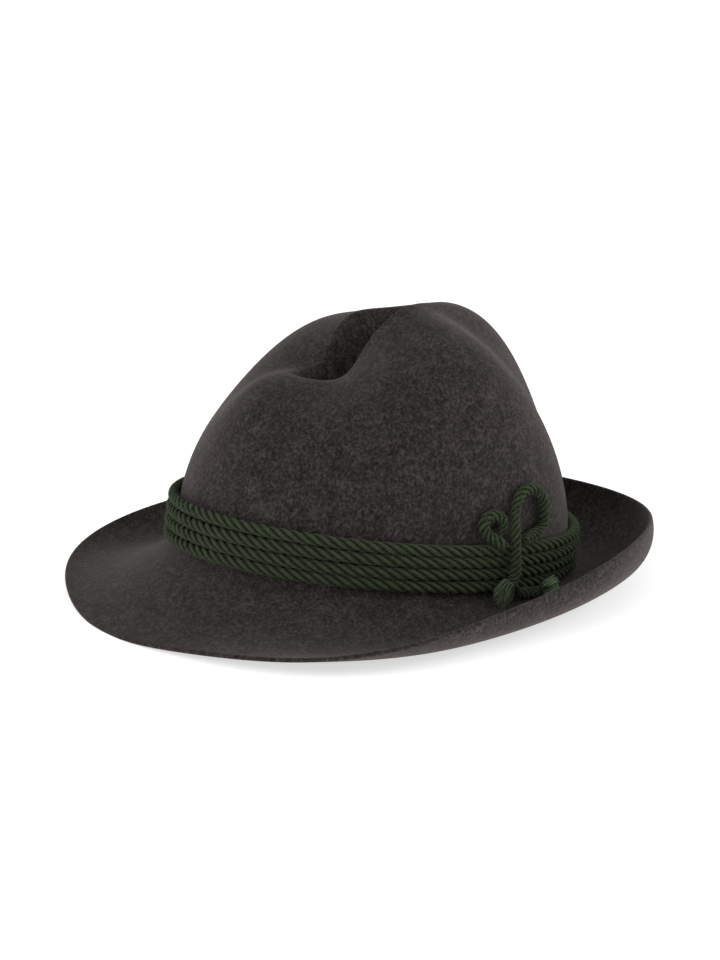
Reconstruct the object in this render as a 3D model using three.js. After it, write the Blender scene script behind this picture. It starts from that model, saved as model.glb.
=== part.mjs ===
// A Tyrolean hat of wool felt, resting on its own brim: one felt piece with a pinched crown and a
// brim that turns down in front and up behind, a leather sweatband inside it, four turns of twisted
// cord round the foot of the crown, and the cord's knot on the wearer's left side.
// Millimetres and degrees. The front points to -Y, the wearer's left to +X, up is +Z. The origin is
// in the middle of the outline, at the height of the surface that the hat rests on.
import * as THREE from "three";

// Felt piece, measured outside. Heights count from the foot of the crown.
const CROWN_LENGTH = 206;
const CROWN_WIDTH = 177;
const CROWN_HEIGHT = 131;
const HOLLOW_FLOOR_HEIGHT = 73;
const TOP_FORWARD = 26; // how far the middle of the top lies in front of the middle of the foot
const LEFT_LOBE_LIFT = 7; // the wearer's left lobe stands this much higher than an even crown's
const BRIM_WIDTH = 60;
const FELT_WALL = 2.2;
const JOIN_ROUND = 4; // reach of the round bend between crown and brim
const REST_PRESS = 0.6; // depth of felt that lies flat where the brim touches the surface

// Shape of the profiles, as shares.
const FOLD_SHARE = 0.35; // how far the lip's top runs inwards before the hollow drops, of its reach
const BOWL_SHARE = 0.45; // how wide the hollow stays near its floor, of the lip's reach
const BRIM_CURL = 1.8; // 1 bends the brim evenly over its width, more puts the bend near its edge

// Leather sweatband.
const SWEATBAND_HEIGHT = 38;
const SWEATBAND_WALL = 1;
const SWEATBAND_GAP = 0.6; // the leather stands this far off the felt

// Cord and its knot.
const CORD_DIAMETER = 5.7;
const CORD_TURNS = 4;
const BAND_LIFT = 1.7; // from the foot of the crown to the underside of the lowest turn
const KNOT_ANGLE = 97;

// Gap that neighbouring pieces keep.
const CLEARANCE = 0.3;

// Number of facets.
const ROUND_STEPS = 56;
const HOLLOW_STEPS = 7;
const WALL_STEPS = 9;
const JOIN_STEPS = 2;
const BRIM_STEPS = 9;
const SWEATBAND_STEPS = 4;
const CORD_SIDES = 8;
const SLOPE_STEPS = 24;
const STRAND_STEP = 0.65; // length of a strand's facets, in diameters of the cord
const FRAY_SIDES = 10;

// Crown sections, from the front to the back, 45 degrees apart. Reaches and the shoulder are shares
// of the foot's own reach in that direction, lipHeight is a share of CROWN_HEIGHT, and rise is how
// far the wall climbs before it turns in, a share of the lip's height. lean tilts the wall's foot.
const CROWN_SECTIONS = [
  { lipReach: 0.46, lipHeight: 0.7, shoulder: 0.28, rise: 0.51, lean: 0.06 },
  { lipReach: 0.25, lipHeight: 0.71, shoulder: 0.22, rise: 0.83, lean: 0.11 },
  { lipReach: 0.23, lipHeight: 0.893, shoulder: 0.2, rise: 1.11, lean: 0.175 },
  { lipReach: 0.3, lipHeight: 0.968, shoulder: 0.09, rise: 0.62, lean: 0.195 },
  { lipReach: 0.39, lipHeight: 0.984, shoulder: 0.44, rise: 0.27, lean: 0 },
];

// Brim sections, from the front to the back, 30 degrees apart. width is a share of BRIM_WIDTH, and
// the slopes are those of the brim's profile at the crown and at the edge, in degrees.
const BRIM_SECTIONS = [
  { width: 0.98, startSlope: -36, endSlope: -34 },
  { width: 1.0, startSlope: -37, endSlope: -10 },
  { width: 1.13, startSlope: -39, endSlope: 36 },
  { width: 0.95, startSlope: -35, endSlope: 89 },
  { width: 0.98, startSlope: -9, endSlope: 104 },
  { width: 1.0, startSlope: -5, endSlope: 109 },
  { width: 1.06, startSlope: -3, endSlope: 91 },
];

// Routes of the knot's strands, chosen by hand: along is measured round the crown from KNOT_ANGLE
// towards the back, up from the foot of the crown, and out from the felt to the strand's middle.
// The large loop starts beside the wrap, goes round, and comes down over the four turns.
const LARGE_LOOP_ROUTE = [
  { along: 6.8, up: 27.5, out: 7 },
  { along: 10.8, up: 28.3, out: 5.8 },
  { along: 17.1, up: 29.4, out: 3.9 },
  { along: 22.2, up: 30.8, out: 3.2 },
  { along: 24.6, up: 33.8, out: 3.2 },
  { along: 24.5, up: 38.2, out: 3.2 },
  { along: 23.5, up: 43, out: 3.2 },
  { along: 21.1, up: 47.4, out: 3.2 },
  { along: 16.8, up: 50.7, out: 3.2 },
  { along: 12.2, up: 51.8, out: 3.2 },
  { along: 7.9, up: 50.8, out: 3.2 },
  { along: 5, up: 48.2, out: 3.2 },
  { along: 3.6, up: 44.3, out: 3.3 },
  { along: 3, up: 40.2, out: 3.9 },
  { along: 1.9, up: 36.2, out: 6.2 },
  { along: 0.7, up: 32.5, out: 8.8 },
  { along: 1, up: 28.6, out: 9.3 },
  { along: 2.6, up: 21.6, out: 9.3 },
  { along: 4, up: 15.1, out: 9.3 },
  { along: 4.2, up: 11.6, out: 9.3 },
  { along: 3.4, up: 9, out: 9.4 },
  { along: 1.5, up: 7.1, out: 9.9 },
];
const SMALL_LOOP_ROUTE = [
  { along: -3, up: 31, out: 3.2 },
  { along: -3, up: 34.3, out: 3.2 },
  { along: -4.5, up: 37.8, out: 3.2 },
  { along: -8.2, up: 39.7, out: 3.2 },
  { along: -12.3, up: 39, out: 3.2 },
  { along: -14.3, up: 35.8, out: 3.2 },
  { along: -13.5, up: 32.3, out: 3.3 },
  { along: -11.2, up: 29.8, out: 4 },
  { along: -8.8, up: 28.5, out: 5.4 },
  { along: -6.6, up: 27.3, out: 7.5 },
  { along: -5, up: 25.2, out: 9.4 },
];
const TAIL_ROUTE = [
  { along: 8.6, up: 2.4, out: 9.4 },
  { along: 14, up: 2.2, out: 9.4 },
  { along: 19.5, up: 2, out: 9.4 },
  { along: 24, up: 2.1, out: 9.7 },
  { along: 26.6, up: 3, out: 10.7 },
];

// Frayed ends: length, and the most that each opens to beside the wall and away from it, in cord
// diameters.
const FRONT_FRAY = { length: 10, width: 2.1, depth: 1.2 };
const BACK_FRAY = { length: 9, width: 1.6, depth: 1.5 };

// Sections of a frayed end: the place along its length, and the share of the way that it has opened
// from the cord's own section to its widest.
const FRAY_SECTIONS = [
  { place: 0, opening: 0 },
  { place: 0.35, opening: 0.6 },
  { place: 0.8, opening: 1 },
  { place: 1, opening: 0.75 },
];

const degrees = Math.PI / 180;

// Value of a table column in any direction: a smooth wave, the same on both sides of the hat, that
// passes through the rows.
function spread(rows, column, angle) {
  const last = rows.length - 1;
  const endWeight = (index) => (index === 0 || index === last ? 0.5 : 1);
  let value = 0;
  for (let wave = 0; wave <= last; wave += 1) {
    let strength = 0;
    rows.forEach((row, index) => {
      strength += endWeight(index) * row[column] * Math.cos((Math.PI * wave * index) / last);
    });
    value += (2 / last) * endWeight(wave) * strength * Math.cos(wave * angle);
  }
  return value;
}

// Point of the crown at a share of the foot's reach. The middle of the top lies forward.
function crownPoint(angle, reach, height) {
  return new THREE.Vector3(
    (reach * CROWN_WIDTH * Math.sin(angle)) / 2,
    (-reach * CROWN_LENGTH * Math.cos(angle)) / 2 - TOP_FORWARD * (1 - reach),
    height,
  );
}

const footRadius = (angle) => {
  return Math.hypot(CROWN_WIDTH * Math.sin(angle), CROWN_LENGTH * Math.cos(angle)) / 2;
};

// Profile in one direction, as a curve through four handles of reach and height.
function profileCurve(angle, handles) {
  const corners = handles.map(([reach, height]) => {
    return new THREE.Vector2(reach * footRadius(angle), height);
  });
  return new THREE.CubicBezierCurve(...corners);
}

function profilePoint(angle, curve, share) {
  const place = curve.getPointAt(share);
  return crownPoint(angle, place.x / footRadius(angle), place.y);
}

function lipHeight(angle) {
  const even = CROWN_HEIGHT * spread(CROWN_SECTIONS, "lipHeight", angle);
  return even + (LEFT_LOBE_LIFT * Math.sin(angle) * (1 - Math.cos(angle))) / 2;
}

// Outside of the crown's wall, from the foot to the lip of the hollow.
function wallCurve(angle) {
  const lip = spread(CROWN_SECTIONS, "lipReach", angle);
  const shoulder = spread(CROWN_SECTIONS, "shoulder", angle);
  const rise = spread(CROWN_SECTIONS, "rise", angle);
  const lean = spread(CROWN_SECTIONS, "lean", angle);
  const top = lipHeight(angle);
  return profileCurve(angle, [[1, 0], [1 + lean * rise, rise * top], [lip + shoulder, top], [lip, top]]);
}

const wallPoint = (angle, climb) => profilePoint(angle, wallCurve(angle), climb);

// Hollow in the top: share runs from 0 at its floor to 1 at the lip.
function hollowPoint(angle, share) {
  const lip = spread(CROWN_SECTIONS, "lipReach", angle);
  const top = lipHeight(angle);
  const floor = HOLLOW_FLOOR_HEIGHT;
  const curve = profileCurve(angle, [
    [0, floor],
    [BOWL_SHARE * lip, floor],
    [(1 - FOLD_SHARE) * lip, top],
    [lip, top],
  ]);
  return profilePoint(angle, curve, share);
}

// Direction of the brim in plan: square to the crown's foot.
function footNormal(angle) {
  const across = Math.sin(angle) / CROWN_WIDTH;
  const forward = Math.cos(angle) / CROWN_LENGTH;
  return new THREE.Vector3(across, -forward, 0).normalize();
}

// Top of the brim: share runs from 0 at the crown to 1 at the edge. The profile's slope eases from
// the row's start slope to its end slope.
function brimPoint(angle, share) {
  const width = BRIM_WIDTH * spread(BRIM_SECTIONS, "width", angle);
  const start = spread(BRIM_SECTIONS, "startSlope", angle) * degrees;
  const end = spread(BRIM_SECTIONS, "endSlope", angle) * degrees;
  const step = share / SLOPE_STEPS;
  let out = 0;
  let up = 0;
  for (let index = 0; index < SLOPE_STEPS; index += 1) {
    const slope = start + (end - start) * ((index + 0.5) * step) ** BRIM_CURL;
    out += width * step * Math.cos(slope);
    up += width * step * Math.sin(slope);
  }
  const point = crownPoint(angle, 1, up);
  return point.addScaledVector(footNormal(angle), out);
}

// Share of the wall's climb at a height above the foot.
function climbAt(angle, height) {
  const curve = wallCurve(angle);
  let low = 0;
  let high = 1;
  for (let pass = 0; pass < 24; pass += 1) {
    const middle = (low + high) / 2;
    if (curve.getPointAt(middle).y < height) {
      low = middle;
    } else {
      high = middle;
    }
  }
  return (low + high) / 2;
}

// Round bend from the wall to the brim.
function joinPoint(angle, share) {
  const above = wallPoint(angle, climbAt(angle, JOIN_ROUND));
  const foot = crownPoint(angle, 1, 0);
  const beyond = brimPoint(angle, JOIN_ROUND / BRIM_WIDTH);
  const rest = 1 - share;
  return above
    .multiplyScalar(rest ** 2)
    .addScaledVector(foot, 2 * rest * share)
    .addScaledVector(beyond, share ** 2);
}

// Whole felt surface in one run: station 0 to 1 is the hollow, 1 to 2 the wall, 2 to 3 the bend and
// 3 to 4 the brim.
function feltPoint(angle, station) {
  if (station <= 1) {
    return hollowPoint(angle, station);
  }
  if (station <= 2) {
    const lowest = climbAt(angle, JOIN_ROUND);
    return wallPoint(angle, lowest + (1 - lowest) * (2 - station));
  }
  if (station <= 3) {
    return joinPoint(angle, station - 2);
  }
  const inner = JOIN_ROUND / BRIM_WIDTH;
  return brimPoint(angle, inner + (1 - inner) * (station - 3));
}

// Felt point moved along the surface's own normal: out of the crown, and up from the brim.
function feltOffset(angle, station, distance) {
  const point = feltPoint(angle, station);
  if (station === 0) {
    return point.add(new THREE.Vector3(0, 0, distance));
  }
  const small = 0.004;
  const before = Math.max(station - small, 0);
  const after = Math.min(station + small, 4);
  const along = feltPoint(angle, after).sub(feltPoint(angle, before));
  const round = feltPoint(angle + small, station).sub(feltPoint(angle - small, station));
  return point.addScaledVector(along.cross(round).normalize(), distance);
}

// Same for a point of the crown's wall at a height above the foot.
function wallOffset(angle, height, distance) {
  const small = 0.004;
  const climb = climbAt(angle, height);
  const point = wallPoint(angle, climb);
  const down = wallPoint(angle, Math.max(climb - small, 0)).sub(wallPoint(angle, climb + small));
  const round = wallPoint(angle + small, climb).sub(wallPoint(angle - small, climb));
  return point.addScaledVector(down.cross(round).normalize(), distance);
}

const roundAngles = (count) => {
  return Array.from({ length: count }, (_, index) => (2 * Math.PI * index) / count);
};

const even = (from, to, steps) => {
  return Array.from({ length: steps + 1 }, (_, index) => from + ((to - from) * index) / steps);
};

// Closed mesh from rings of points round the hat. With closedAcross the last ring meets the first,
// otherwise the first and last rings are each drawn together in one point.
function loft(rings, closedAcross) {
  const positions = [];
  const addTriangle = (...corners) => {
    const [a, b, c] = corners;
    const sliver = 1e-6;
    if (a.distanceTo(b) < sliver || b.distanceTo(c) < sliver || c.distanceTo(a) < sliver) {
      return;
    }
    corners.forEach((corner) => positions.push(corner.x, corner.y, corner.z));
  };
  const lastRing = closedAcross ? rings.length : rings.length - 1;
  for (let index = 0; index < lastRing; index += 1) {
    const ring = rings[index];
    const next = rings[(index + 1) % rings.length];
    ring.forEach((corner, column) => {
      const beside = (column + 1) % ring.length;
      addTriangle(corner, next[column], next[beside]);
      addTriangle(corner, next[beside], ring[beside]);
    });
  }
  const geometry = new THREE.BufferGeometry();
  geometry.setAttribute("position", new THREE.Float32BufferAttribute(positions, 3));
  geometry.computeVertexNormals();
  return geometry;
}

const feltStations = [
  ...even(0, 1, HOLLOW_STEPS),
  ...even(1, 2, WALL_STEPS).slice(1),
  ...even(2, 3, JOIN_STEPS).slice(1),
  ...even(3, 4, BRIM_STEPS).slice(1),
];

// Rings of one side of the felt, before the hat is leaned back.
function feltRings(distance) {
  return feltStations.map((station) => {
    return roundAngles(ROUND_STEPS).map((angle) => feltOffset(angle, station, distance));
  });
}

const topRings = feltRings(0);
const underRings = feltRings(-FELT_WALL);

const leaned = (point, lean) => point.clone().applyAxisAngle(new THREE.Vector3(1, 0, 0), -lean);

// Lowest height of the brim's underside, on the front half or the back half, at a lean.
function lowestHeight(lean, side) {
  const heights = underRings.flat().map((point) => {
    return Math.sign(point.y) === side ? leaned(point, lean).z : Infinity;
  });
  return Math.min(...heights);
}

// Angle at which the hat comes to rest: the front edge and the back of the brim touch together.
function restingLean() {
  let low = 0;
  let high = 20 * degrees;
  for (let pass = 0; pass < 30; pass += 1) {
    const middle = (low + high) / 2;
    if (lowestHeight(middle, -1) < lowestHeight(middle, 1)) {
      low = middle;
    } else {
      high = middle;
    }
  }
  return (low + high) / 2;
}

const lean = restingLean();
const restHeight = -lowestHeight(lean, -1) - REST_PRESS;

// Felt points at rest. What would lie under the surface is pressed flat on it.
const atRest = (point) => {
  const rested = leaned(point, lean);
  rested.z = Math.max(rested.z + restHeight, 0);
  return rested;
};

function feltGeometry() {
  const rings = [...topRings, ...underRings.slice().reverse()];
  return loft(
    rings.map((ring) => ring.map(atRest)),
    false,
  );
}

function sweatbandGeometry() {
  const inside = -(FELT_WALL + SWEATBAND_GAP);
  const heights = even(SWEATBAND_HEIGHT + CLEARANCE, CLEARANCE, SWEATBAND_STEPS);
  const angles = roundAngles(ROUND_STEPS / 2);
  const side = (distance) => {
    return heights.map((height) => angles.map((angle) => wallOffset(angle, height, distance)));
  };
  return loft([...side(inside), ...side(inside - SWEATBAND_WALL).reverse()], true);
}

const cordRadius = CORD_DIAMETER / 2;
const turnPitch = CORD_DIAMETER + CLEARANCE;

// One turn of cord round the foot of the crown, counted from the brim upwards.
function turnGeometry(index) {
  const height = BAND_LIFT + cordRadius + index * turnPitch;
  const rings = roundAngles(CORD_SIDES).map((side) => {
    return roundAngles(ROUND_STEPS).map((angle) => {
      const out = CLEARANCE + cordRadius * (1 + Math.cos(side));
      const point = wallOffset(angle, height, out);
      point.z -= cordRadius * Math.sin(side);
      return point;
    });
  });
  return loft(rings, true);
}

// Point near the knot, from its place along the band, up the wall and out from the felt.
function knotPoint({ along, up, out }) {
  const angle = KNOT_ANGLE * degrees;
  const small = 0.01;
  const arc = wallOffset(angle + small, 0, out).distanceTo(wallOffset(angle, 0, out)) / small;
  return wallOffset(angle + along / arc, up, out);
}

const strandPath = (route) => {
  return new THREE.CatmullRomCurve3(route.map(knotPoint), false, "centripetal");
};

function strandGeometry(path) {
  const section = new THREE.Shape(
    roundAngles(CORD_SIDES).map((angle) => {
      return new THREE.Vector2(cordRadius * Math.cos(angle), cordRadius * Math.sin(angle));
    }),
  );
  const steps = Math.max(4, Math.round(path.getLength() / (STRAND_STEP * CORD_DIAMETER)));
  return new THREE.ExtrudeGeometry(section, { steps, extrudePath: path });
}

// Opened end of the cord, which carries a strand on from where its route stops: a brush of fibres
// that fans out beside the wall.
function frayGeometry(route, path, fray) {
  const last = route[route.length - 1];
  const heading = path.getTangent(1);
  const start = path.getPoint(1).addScaledVector(heading, CLEARANCE);
  const outward = knotPoint({ ...last, out: last.out + 1 }).sub(knotPoint(last));
  const beside = outward.cross(heading).normalize();
  const away = beside.clone().cross(heading);
  const ring = (place, width, depth) => {
    const middle = start.clone().addScaledVector(heading, place * fray.length);
    return roundAngles(FRAY_SIDES).map((angle) => {
      return middle
        .clone()
        .addScaledVector(beside, cordRadius * width * Math.cos(angle))
        .addScaledVector(away, cordRadius * depth * Math.sin(angle));
    });
  };
  const rings = FRAY_SECTIONS.map(({ place, opening }) => {
    return ring(place, 1 + (fray.width - 1) * opening, 1 + (fray.depth - 1) * opening);
  });
  return loft([ring(0, 0, 0), ...rings, ring(1, 0, 0)], false);
}

const finish = (color, roughness) => new THREE.MeshStandardMaterial({ color, roughness });
const felt = finish(0x4a4442, 0.95);
const leather = finish(0x5a3a26, 0.6);
const cord = finish(0x35402c, 0.85);

function piece(name, geometry, material) {
  const mesh = new THREE.Mesh(geometry, material);
  mesh.name = name;
  return mesh;
}

// What the hat carries leans back with it.
const leaning = new THREE.Group();
leaning.rotation.x = -lean;
leaning.position.z = restHeight;
leaning.add(piece("sweatband", sweatbandGeometry(), leather));
for (let index = 0; index < CORD_TURNS; index += 1) {
  leaning.add(piece(`cord_turn_${index + 1}`, turnGeometry(index), cord));
}
const largeLoop = strandPath(LARGE_LOOP_ROUTE);
const tail = strandPath(TAIL_ROUTE);
leaning.add(
  piece("knot_large_loop", strandGeometry(largeLoop), cord),
  piece("knot_small_loop", strandGeometry(strandPath(SMALL_LOOP_ROUTE)), cord),
  piece("knot_tail", strandGeometry(tail), cord),
  piece("frayed_end_front", frayGeometry(LARGE_LOOP_ROUTE, largeLoop, FRONT_FRAY), cord),
  piece("frayed_end_back", frayGeometry(TAIL_ROUTE, tail, BACK_FRAY), cord),
);

// The origin comes to the middle of the outline.
const hat = new THREE.Group();
hat.add(piece("felt_body", feltGeometry(), felt), leaning);
hat.updateMatrixWorld(true);
const middle = new THREE.Box3().setFromObject(hat, true).getCenter(new THREE.Vector3());
hat.position.set(-middle.x, -middle.y, 0);

const part = new THREE.Group();
part.add(hat);
export default part;
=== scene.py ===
"""Looks of a Tyrolean hat: wool felt, a leather sweatband and a knotted cord of four plies.

Shapes are worked out in millimetres on the hat before it leans back, and go into the meshes in
metres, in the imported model's frame: the front is -Y, the wearer's left is +X, and up is +Z.
"""

from __future__ import annotations

import logging
import math
from dataclasses import dataclass, field
from enum import Enum

import bpy
import numpy as np
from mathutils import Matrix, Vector

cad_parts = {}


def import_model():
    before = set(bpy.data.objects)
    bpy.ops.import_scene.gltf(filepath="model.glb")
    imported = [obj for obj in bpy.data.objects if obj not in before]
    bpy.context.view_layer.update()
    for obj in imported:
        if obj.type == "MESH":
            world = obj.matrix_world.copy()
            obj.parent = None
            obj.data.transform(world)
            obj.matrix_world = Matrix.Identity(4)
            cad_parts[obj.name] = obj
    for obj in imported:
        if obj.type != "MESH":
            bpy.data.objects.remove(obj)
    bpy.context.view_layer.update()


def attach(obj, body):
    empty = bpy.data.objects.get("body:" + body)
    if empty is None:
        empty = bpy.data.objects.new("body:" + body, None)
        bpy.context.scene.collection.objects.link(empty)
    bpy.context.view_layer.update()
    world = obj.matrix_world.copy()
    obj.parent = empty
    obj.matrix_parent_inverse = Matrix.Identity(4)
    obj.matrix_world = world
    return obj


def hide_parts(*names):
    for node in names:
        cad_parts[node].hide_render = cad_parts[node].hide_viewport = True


Array = np.ndarray
Colour = tuple[float, float, float, float]
Range = tuple[float, float]
Table = tuple[tuple[float, ...], ...]
Material = bpy.types.Material
Socket = bpy.types.NodeSocket

log = logging.getLogger("tyrolean_hat")

METRES_PER_MM = 0.001
HALVINGS = 30
WHITE: Colour = (1.0, 1.0, 1.0, 1.0)


def unit(vectors: Array) -> Array:
    """Vectors divided by their own lengths."""
    lengths = np.linalg.norm(vectors, axis=-1, keepdims=True)
    return vectors / np.maximum(lengths, 1e-9)


def square_to(vectors: Array, axes: Array) -> Array:
    """Unit vectors of what is left when the share along the unit axes is taken off."""
    return unit(vectors - np.sum(vectors * axes, axis=-1, keepdims=True) * axes)


def running_length(points: Array) -> Array:
    """Distance of each point from the first one, along the line through all of them."""
    steps = np.linalg.norm(np.diff(points, axis=0), axis=-1)
    return np.concatenate([[0.0], np.cumsum(steps)])


def read_at(places: Array, known: Array, rows: Array) -> Array:
    """Rows of numbers at places between the known ones, by straight lines from row to row."""
    return np.stack([np.interp(places, known, column) for column in rows.T], axis=-1)


@dataclass
class Surface:
    """Points and faces of a piece, in millimetres, with numbers that its material reads."""

    points: Array
    faces: list[Array]
    numbers: dict[str, Array] = field(default_factory=dict)

    def to_object(self, name: str) -> bpy.types.Object:
        """Smooth-shaded Blender object of this surface.

        Args:
            name: Name of the object and its mesh.

        Returns:
            The object, at the origin, with a float attribute for each of the numbers.
        """
        mesh = bpy.data.meshes.new(name)
        corners = np.concatenate([group.ravel() for group in self.faces])
        sizes = np.concatenate([np.full(len(group), group.shape[1]) for group in self.faces])
        starts = np.concatenate([[0], np.cumsum(sizes)[:-1]])
        mesh.vertices.add(len(self.points))
        mesh.vertices.foreach_set("co", (self.points * METRES_PER_MM).astype(np.float32).ravel())
        mesh.loops.add(len(corners))
        mesh.loops.foreach_set("vertex_index", corners.astype(np.int32))
        mesh.polygons.add(len(sizes))
        mesh.polygons.foreach_set("loop_start", starts.astype(np.int32))
        mesh.polygons.foreach_set("use_smooth", np.ones(len(sizes), dtype=bool))
        for label, values in self.numbers.items():
            layer = mesh.attributes.new(label, "FLOAT", "POINT")
            layer.data.foreach_set("value", values.astype(np.float32).ravel())
        mesh.update(calc_edges=True)
        made = bpy.data.objects.new(name, mesh)
        bpy.context.scene.collection.objects.link(made)
        return made


def grid_faces(rows: int, columns: int, wrap_rows: bool) -> Array:
    """Quads of a grid of points that is numbered row by row, whose last column meets the first.

    Args:
        rows: Number of rows.
        columns: Number of columns.
        wrap_rows: Whether the last row meets the first.

    Returns:
        Four corner numbers for each quad, which faces where the direction of growing rows,
        crossed with that of growing columns, points.
    """
    row = np.arange(rows if wrap_rows else rows - 1)[:, None]
    column = np.arange(columns)[None, :]
    next_row, next_column = (row + 1) % rows, (column + 1) % columns
    corners = (
        row * columns + column,
        next_row * columns + column,
        next_row * columns + next_column,
        row * columns + next_column,
    )
    return np.stack(np.broadcast_arrays(*corners), axis=-1).reshape(-1, 4)


def closed_sweep(rings: Array, first_tip: Array, last_tip: Array) -> Surface:
    """Skin of rings of points whose first and last rings are each drawn together in a point.

    Args:
        rings: Points by row, column and coordinate. The skin faces where the direction of
            growing rows, crossed with that of growing columns, points.
        first_tip: Point that closes the first ring.
        last_tip: Point that closes the last ring.

    Returns:
        The closed surface. Its last two points are the tips.
    """
    rows, columns = rings.shape[:2]
    ring = np.arange(columns)
    beside = np.roll(ring, -1)
    far = (rows - 1) * columns
    first = np.full(columns, rows * columns)
    points = np.concatenate([rings.reshape(-1, 3), first_tip[None], last_tip[None]])
    faces = [
        grid_faces(rows, columns, False),
        np.stack([first, ring, beside], axis=-1),
        np.stack([first + 1, far + beside, far + ring], axis=-1),
    ]
    return Surface(points, faces)


def hair_tubes(
    lines: Array, facing: Array, radii: Array, sides: int, shades: Array | None = None
) -> Surface:
    """Thin closed tubes along many lines at once.

    Args:
        lines: Points by line, row and coordinate.
        facing: Direction that isn't along the lines, one for all or one for each line.
        radii: Radius of the tubes at each row.
        sides: Corners round a tube.
        shades: One number for each line, if the material reads such numbers.

    Returns:
        The tubes. Each has its rings first and its two tips last. With shades, they carry the
        number "shade", and "tip", which runs from 0 to 1 along each line.
    """
    tangents = unit(np.gradient(lines, axis=1))
    first = square_to(np.broadcast_to(facing, lines.shape), tangents)
    second = np.cross(tangents, first)
    angle = np.linspace(0.0, -2 * np.pi, sides, endpoint=False)[:, None]
    around = np.cos(angle) * first[:, :, None] + np.sin(angle) * second[:, :, None]
    rings = lines[:, :, None] + radii[:, None, None] * around
    points = np.concatenate(
        [rings.reshape(len(lines), -1, 3), lines[:, :1], lines[:, -1:]], axis=1
    )
    pattern = closed_sweep(rings[0], lines[0, 0], lines[0, -1]).faces
    start = np.arange(len(lines))[:, None, None] * points.shape[1]
    faces = [(face + start).reshape(-1, face.shape[1]) for face in pattern]
    made = Surface(points.reshape(-1, 3), faces)
    if shades is not None:
        tip = np.append(np.repeat(np.linspace(0.0, 1.0, len(radii)), sides), [0.0, 1.0])
        made.numbers = {"tip": np.tile(tip, len(lines)), "shade": np.repeat(shades, len(tip))}
    return made


class Profile:
    """Cubic curves in the plane of reach and height, one for each direction round the hat."""

    def __init__(self, reaches: list[Array], heights: list[Array]) -> None:
        """Keeps the four handles, each an array over the directions."""
        self.reaches = reaches
        self.heights = heights

    def at(self, place: Array) -> tuple[Array, Array]:
        """Reach and height at a place from 0 to 1 along the handles.

        The formula is the usual one of a cubic with handles a, b, c and d, where r is 1 - t:
        r^3 a + 3 r^2 t b + 3 r t^2 c + t^3 d.
        """
        rest = 1.0 - place
        weights = (rest**3, 3 * rest**2 * place, 3 * rest * place**2, place**3)
        reach = sum(weight * handle for weight, handle in zip(weights, self.reaches))
        height = sum(weight * handle for weight, handle in zip(weights, self.heights))
        return reach, height

    def place_at_height(self, height: Array) -> Array:
        """Place where the curve reaches a height, found by halving a range again and again."""
        low = np.zeros(np.shape(height))
        high = np.ones(np.shape(height))
        for _ in range(HALVINGS):
            middle = (low + high) / 2
            under = self.at(middle)[1] < height
            low = np.where(under, middle, low)
            high = np.where(under, high, middle)
        return (low + high) / 2


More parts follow.
